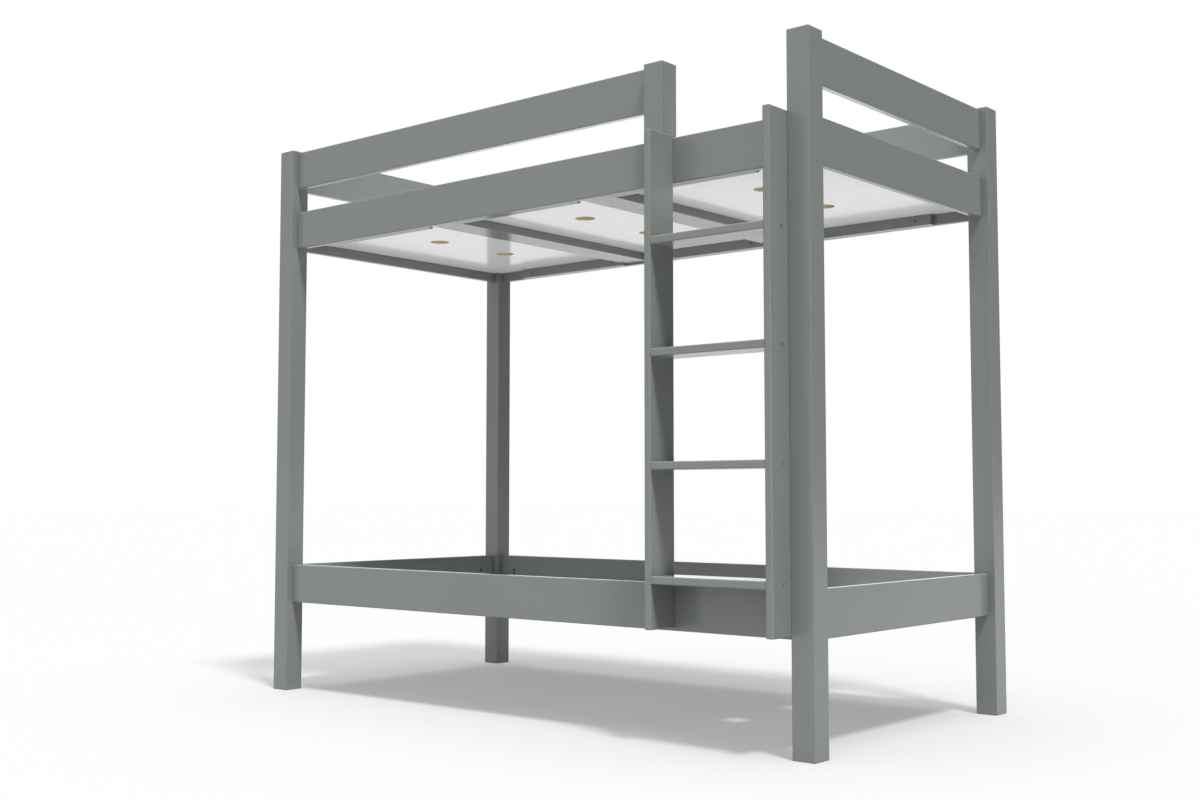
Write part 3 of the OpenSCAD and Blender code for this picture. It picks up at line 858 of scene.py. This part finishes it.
def hexagon_nut(height, flat):
    """A nut: six flats cut by a cone at both faces, and a bore chamfered at both ends. The cone's
    rings are the face's circle, the flats' middles, halfway out and the corners."""
    hexagon = polygon(flat, 6, AROUND)
    face, corner = flat * NUT_FACE, hexagon.max()
    depths = np.array([0.0, (flat - face), (flat + corner) / 2 - face, corner - face]) * NUT_CHAMFER
    cut = [np.minimum(hexagon, face + depth / NUT_CHAMFER) for depth in depths]
    bore = BOLT_ROD * 0.97
    mouth = bore + BORE_CHAMFER
    along = [*depths, *(height - depths[::-1]),
             height, height - BORE_CHAMFER_DEPTH, BORE_CHAMFER_DEPTH, 0.0]
    radius = cut + cut[::-1] + [circle(r, AROUND) for r in (mouth, bore, bore, mouth)]
    return turned(along, radius, closed=True)


def flat_washer(height, outer):
    """A punched washer: rounded where the punch entered, at its rim and at its bore."""
    bore, soft = BOLT_ROD + WASHER_PLAY, WASHER_ROUNDING
    along = [0.0, soft * 0.3, soft, height - soft, height - soft * 0.3, height, height,
             height - soft, soft, 0.0]
    radii = [outer - soft, outer - soft * 0.3, outer, outer, outer - soft * 0.3, outer - soft,
             bore + soft, bore, bore, bore + soft]
    return turned(along, [circle(r, WASHER_AROUND) for r in radii], closed=True)


heads, _, _, length, wide = places_of("rail_bolts")
fitted("rail_bolts_threaded", "rail_bolts", hanger_bolt(length * 1000, wide * 1000), ZINC,
       rng.uniform(0, 2 * math.pi, len(heads)))
_, _, _, length, wide = places_of("rail_nuts")
fitted("rail_nuts_chamfered", "rail_nuts",
       hexagon_nut(length * 1000, wide * 1000 * math.cos(math.pi / 6)), ZINC)
_, _, _, length, wide = places_of("rail_washers")
fitted("rail_washers_rounded", "rail_washers", flat_washer(length * 1000, wide * 1000), ZINC)

# %% [markdown]
# ## Dowels
#
# The beech dowels keep the rails, rungs and beams from turning around their screws. A dowel is
# pressed through a toothed die, which leaves shallow flutes for the glue, and both its ends are
# chamfered so that it finds its hole. Every third point of a ring lies a little nearer to the axis.
# The flutes stop short of the chamfers, as the die leaves them.

# %% Dowels
FLUTES = 20
FLUTE_DEPTH = 0.22
FLUTE_END = 1.2
DOWEL_CHAMFER = 1.1
DOWEL_CHAMFER_DEPTH = 0.9


def fluted_dowel(length, outer):
    """A round peg with flutes along it and a chamfer at both ends."""
    around = FLUTES * 3
    flute = np.where(np.arange(around) % 3 == 0, FLUTE_DEPTH, 0.0)
    blunt, shoulder = circle(outer - DOWEL_CHAMFER_DEPTH, around), circle(outer - 0.05, around)
    side = circle(outer, around) - flute
    half = [(0.0, blunt * 0.5), (0.0, blunt), (DOWEL_CHAMFER, shoulder),
            (DOWEL_CHAMFER + FLUTE_END, side)]
    along, radius = zip(*(half + [(length - place, ring) for place, ring in reversed(half)]))
    return turned(along, radius)


for node in ("rail_dowels", "rung_dowels", "beam_dowels"):
    heads, _, _, length, wide = places_of(node)
    fitted(node + "_fluted", node, fluted_dowel(length * 1000, wide * 1000), BEECH,
           rng.uniform(0, 2 * math.pi, len(heads)))
